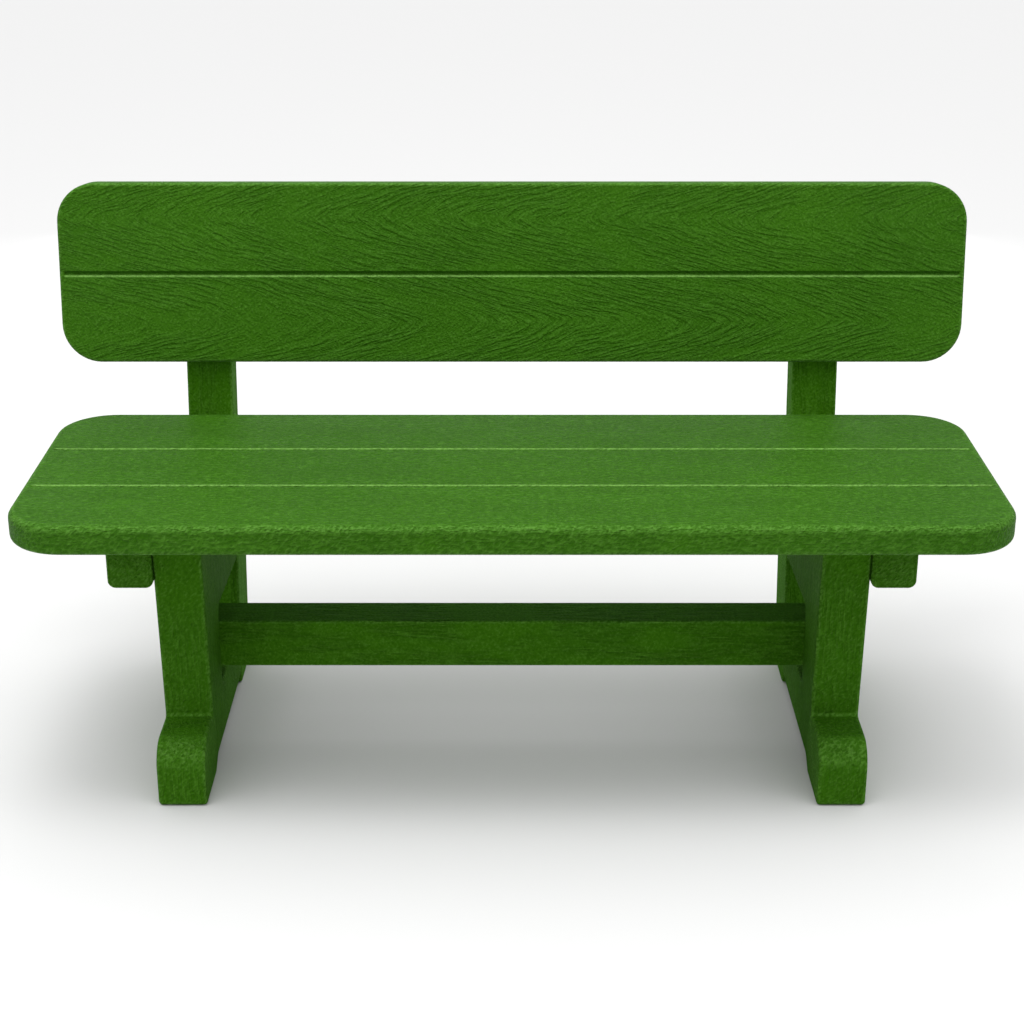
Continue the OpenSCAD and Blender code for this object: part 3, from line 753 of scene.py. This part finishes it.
# %% [markdown]
# ## Zinc-plated screws
# The screws and washers are dull zinc-plated steel. Their CAD shapes are right, so they stay as they are
# and only get a finish: metal with a fine ripple, whose plating is cloudy, with darker patches where the
# bright coat has dulled.


# %% Zinc finish
ZINC, ZINC_DULL = (0.47, 0.48, 0.50, 1), (0.30, 0.31, 0.33, 1)


def zinc_plate(name):
    """Metal with cloudy roughness and colour, and a fine ripple in its height."""
    material = bpy.data.materials.new(name)
    material.use_nodes = True
    tree = material.node_tree
    tree.nodes.clear()
    where = add(tree, "ShaderNodeTexCoord", output=3)
    cloud = noise(tree, where, 260.0, 4.0, 0.6)
    fine = noise(tree, where, 1400.0, 2.0)
    colour = mix(tree, ramp(tree, cloud, 0.35, 0.7), ZINC, ZINC_DULL)
    normal = bump(tree, maths(tree, "MULTIPLY", fine, 0.04 * MM), 0.6)
    shader = tree.nodes.new("ShaderNodeBsdfPrincipled")
    shader.inputs["Metallic"].default_value = 1.0
    tree.links.new(colour, shader.inputs["Base Color"])
    tree.links.new(ramp(tree, cloud, 0.3, 0.75, 0.28, 0.52), shader.inputs["Roughness"])
    tree.links.new(normal, shader.inputs["Normal"])
    add(tree, "ShaderNodeOutputMaterial", shader.outputs[0])
    return material


zinc = zinc_plate("zinc_plate")
fixings = [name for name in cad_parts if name.endswith(("screws", "lags", "washers"))]
for name in fixings:
    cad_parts[name].data.materials.clear()
    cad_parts[name].data.materials.append(zinc)
print(len(fixings), "groups of fixings in zinc")

# %% [markdown]
# ## Stage
# The bench stands on a pale, dull floor that runs far back on all sides. A curved backdrop would hide the
# horizon from one side only; a wide flat floor works for a look from any side.

# %% Floor
FLOOR_HALF = 40
floor_mesh = bpy.data.meshes.new("floor")
floor_mesh.from_pydata([(x * FLOOR_HALF, y * FLOOR_HALF, 0) for x, y in ((-1, -1), (1, -1), (1, 1), (-1, 1))],
                       [], [(0, 1, 2, 3)])
floor = bpy.data.objects.new("floor", floor_mesh)
bpy.context.scene.collection.objects.link(floor)
floor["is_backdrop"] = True
floor_paint = bpy.data.materials.new("floor_paint")
floor_paint.use_nodes = True
floor_shader = floor_paint.node_tree.nodes["Principled BSDF"]
floor_shader.inputs["Base Color"].default_value = (0.58, 0.58, 0.58, 1)
floor_shader.inputs["Roughness"].default_value = 0.95
floor_shader.inputs["Specular IOR Level"].default_value = 0.1
floor_mesh.materials.append(floor_paint)
print("floor", 2 * FLOOR_HALF, "m square")

# %% [markdown]
# ### Lamps and sky
# A sky that is brightest overhead, one large soft lamp above, and three weak ones low at the sides and
# behind that reach under the seat. Big lamps give the broad, quiet shading of a catalogue studio and let
# the embossed strokes catch a little light on their upper sides. The lamps themselves stay out of the
# picture, and wherever the sky shows, it shows as plain white.


# %% Lamps and sky
def soft_lamp(name, place, aim, size, power):
    """Square lamp of the given size at place, turned towards aim."""
    lamp = bpy.data.objects.new(name, bpy.data.lights.new(name, "AREA"))
    lamp.data.shape, lamp.data.size, lamp.data.energy = "SQUARE", size, power
    lamp.location = place
    way = Vector(aim) - lamp.location
    lamp.rotation_mode = "QUATERNION"
    lamp.rotation_quaternion = way.to_track_quat("-Z", "Y")
    lamp.visible_camera = False
    bpy.context.scene.collection.objects.link(lamp)
    print(name, power, "W")


soft_lamp("front_box", (-0.5, -0.5, 3.5), (0, -0.1, 0.4), 1.2, 43)
soft_lamp("left_fill", (-3.2, -1.8, 0.9), (0, 0, 0.3), 1.6, 14)
soft_lamp("right_fill", (3.2, -1.8, 0.9), (0, 0, 0.3), 1.6, 14)
soft_lamp("rear_fill", (0, 2.6, 0.9), (0, 0.1, 0.25), 2.4, 10)
world = bpy.data.worlds.new("sky")
world.use_nodes = True
sky_tree = world.node_tree
sky_tree.nodes["Background"].inputs[0].default_value = (1, 1, 1, 1)
HORIZON_GLOW, ZENITH_GAIN = 0.28, 2.2
upwards = add(sky_tree, "ShaderNodeSeparateXYZ", add(sky_tree, "ShaderNodeTexCoord"), output=2)
rise = maths(sky_tree, "POWER", maths(sky_tree, "MAXIMUM", upwards, 0.0), 1.5)
glow = maths(sky_tree, "MULTIPLY_ADD", rise, ZENITH_GAIN, HORIZON_GLOW)
seen = add(sky_tree, "ShaderNodeLightPath")
sky_tree.links.new(maths(sky_tree, "MAXIMUM", glow, seen), sky_tree.nodes["Background"].inputs[1])
bpy.context.scene.world = world
bpy.context.scene.view_settings.view_transform = "Standard"

# %% [markdown]
# ## Camera
# The camera stands about two metres in front of the seat, half a metre above the back, and looks down by
# about twenty degrees through a 70 mm lens, so that both slabs show their faces.

# %% Camera
camera = bpy.data.objects.new("camera", bpy.data.cameras.new("camera"))
LENS, LOOK_DOWN, STAND_OFF, ABOVE_SEAT = 70.03, 21.61, 2.1736, 0.8804
camera.data.sensor_width, camera.data.lens = 36, LENS
camera.location = (0, seat_low.y - STAND_OFF, seat_high.z + ABOVE_SEAT)
camera.rotation_euler = (math.radians(90 - LOOK_DOWN), 0, 0)
bpy.context.scene.collection.objects.link(camera)
bpy.context.scene.camera = camera
print("camera at", [round(v, 3) for v in camera.location])

# %% [markdown]
# ## Sizes
# The size of the box round the finished pieces is printed. The finished pieces have to stay inside the
# CAD model's box.

# %% Sizes
bpy.context.view_layer.update()
low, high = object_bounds()
print("visual bench", [round(v, 4) for v in high - low])
